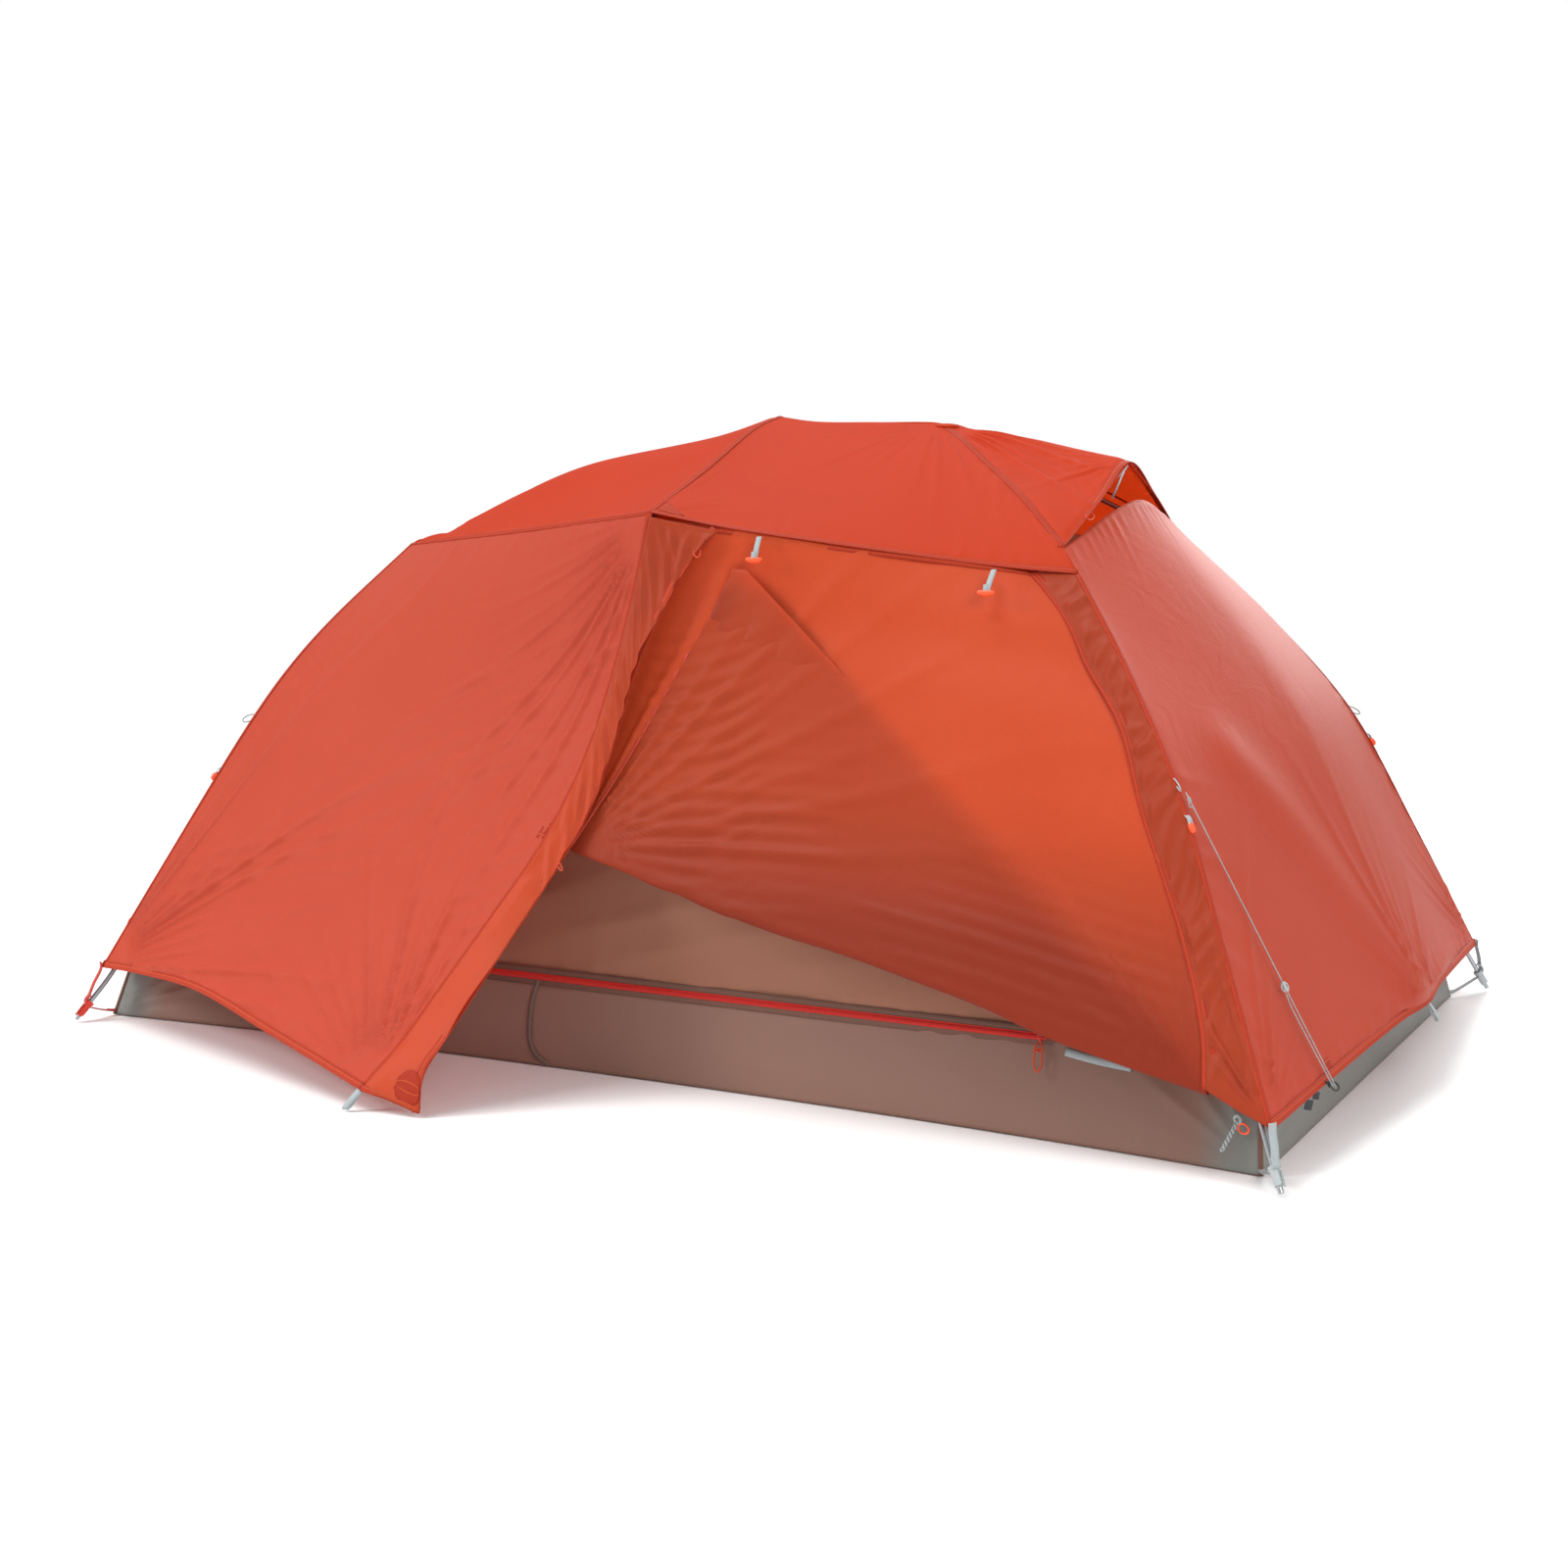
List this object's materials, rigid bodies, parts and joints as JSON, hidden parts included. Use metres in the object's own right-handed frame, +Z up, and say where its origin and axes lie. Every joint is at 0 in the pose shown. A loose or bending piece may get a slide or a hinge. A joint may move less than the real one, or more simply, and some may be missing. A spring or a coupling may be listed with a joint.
{
  "type": "hub-pole tent",
  "caption": "Free-standing two-person tent on a hubbed aluminium pole frame, with a rainfly whose front door is half folded up, and an inner tent below.",
  "frame": {"origin": "middle of the footprint, on the ground", "axes": "+X towards the head end, -Y towards the front door, +Z up"},
  "size_m": [2.4574, 1.89, 1.105],
  "materials": {
    "fly_cloth": "coated ripstop nylon, soft sheen",
    "fly_flap_cloth": "coated ripstop nylon, soft sheen",
    "inner_cloth": "breathable ripstop nylon",
    "floor_cloth": "coated ripstop nylon",
    "pole_aluminium": "anodised, satin",
    "hub_plastic": "moulded",
    "grey_webbing": "woven webbing",
    "red_webbing": "woven webbing",
    "grey_plastic": "moulded",
    "red_plastic": "moulded",
    "zip_red": "nylon coil",
    "slider_red": "painted die casting",
    "pull_cord": "braided cord",
    "toggle_orange": "moulded",
    "guy_cord": "braided cord",
    "strut_plastic": "stiffener in a cloth sleeve"
  },
  "bodies": {
    "tent": {"fly_roof_foot": "fly_cloth", "fly_roof_front": "fly_cloth", "fly_roof_back": "fly_cloth", "fly_vent_brow": "fly_cloth", "fly_head_wall": "fly_cloth", "fly_foot_wall": "fly_cloth", "fly_door_left": "fly_cloth", "fly_back_left": "fly_cloth", "fly_back_right": "fly_cloth", "fly_storm_flap": "fly_flap_cloth", "fly_door_right": "fly_cloth", "fly_jamb_right": "fly_cloth", "leg_head_front_upper": "pole_aluminium", "leg_head_front_lower": "pole_aluminium", "leg_head_back_upper": "pole_aluminium", "leg_head_back_lower": "pole_aluminium", "head_hub": "hub_plastic", "leg_foot_front_upper": "pole_aluminium", "leg_foot_front_lower": "pole_aluminium", "leg_foot_back_upper": "pole_aluminium", "leg_foot_back_lower": "pole_aluminium", "foot_hub": "hub_plastic", "ridge_pole_foot": "pole_aluminium", "ridge_pole_head": "pole_aluminium", "cross_pole_front": "pole_aluminium", "cross_pole_back": "pole_aluminium", "cross_pole_saddle": "hub_plastic", "inner_floor": "floor_cloth", "inner_front_wall": "inner_cloth", "inner_back_wall": "inner_cloth", "inner_roof": "inner_cloth", "inner_head_wall": "inner_cloth", "inner_foot_wall": "inner_cloth", "door_zip_coil": "zip_red", "corner_socket_head_front": "grey_plastic", "fly_corner_strap_head_front": "grey_webbing", "floor_strap_head_front": "grey_webbing", "corner_socket_head_back": "grey_plastic", "fly_corner_strap_head_back": "grey_webbing", "floor_strap_head_back": "grey_webbing", "corner_socket_foot_front": "red_plastic", "fly_corner_strap_foot_front": "red_webbing", "floor_strap_foot_front": "red_webbing", "corner_socket_foot_back": "grey_plastic", "fly_corner_strap_foot_back": "grey_webbing", "floor_strap_foot_back": "grey_webbing", "guyline": "guy_cord", "stake_loop_front": "grey_webbing", "stake_loop_back": "grey_webbing"},
    "zip_slider": {"door_zip_slider": "slider_red"},
    "zip_pull": {"door_zip_pull": "pull_cord"},
    "toggle_left": {"door_toggle_left": "toggle_orange"},
    "toggle_right": {"door_toggle_right": "toggle_orange"},
    "tensioner": {"guyline_tensioner": "grey_plastic"},
    "strut": {"vent_strut": "strut_plastic"},
    "loop_head": {"stake_loop_head": "grey_webbing"},
    "loop_foot": {"stake_loop_foot": "grey_webbing"}
  },
  "joints": [
    {"name": "zip_slide", "type": "slide", "parent": "tent", "child": "zip_slider", "axis": [0.9986, -0.0529, 0], "range_m": [-1.4, 0]},
    {"name": "zip_pull_swing", "type": "hinge", "parent": "zip_slider", "child": "zip_pull", "pos_m": [0.74, -0.59845, 0.151], "axis": [-0.9986, 0.0529, 0], "range_deg": [0, 100]},
    {"name": "toggle_left_swing", "type": "hinge", "parent": "tent", "child": "toggle_left", "pos_m": [0.196, -0.47, 0.911], "axis": [-1, 0, 0], "range_deg": [0, 80]},
    {"name": "toggle_right_swing", "type": "hinge", "parent": "tent", "child": "toggle_right", "pos_m": [0.579, -0.398, 0.863], "axis": [-1, 0, 0], "range_deg": [0, 80]},
    {"name": "tensioner_slide", "type": "slide", "parent": "tent", "child": "tensioner", "axis": [0.4486, 0.1242, -0.8851], "range_m": [-0.22, 0.1]},
    {"name": "vent_strut_fold", "type": "hinge", "parent": "tent", "child": "strut", "pos_m": [0.664, 0, 1.016], "axis": [0, 1, 0], "range_deg": [0, 70]},
    {"name": "head_loop_swing", "type": "hinge", "parent": "tent", "child": "loop_head", "pos_m": [1.213, 0, 0.13], "axis": [0, -1, 0], "range_deg": [-30, 90]},
    {"name": "foot_loop_swing", "type": "hinge", "parent": "tent", "child": "loop_foot", "pos_m": [-1.213, 0, 0.13], "axis": [0, 1, 0], "range_deg": [-30, 90]}
  ]
}
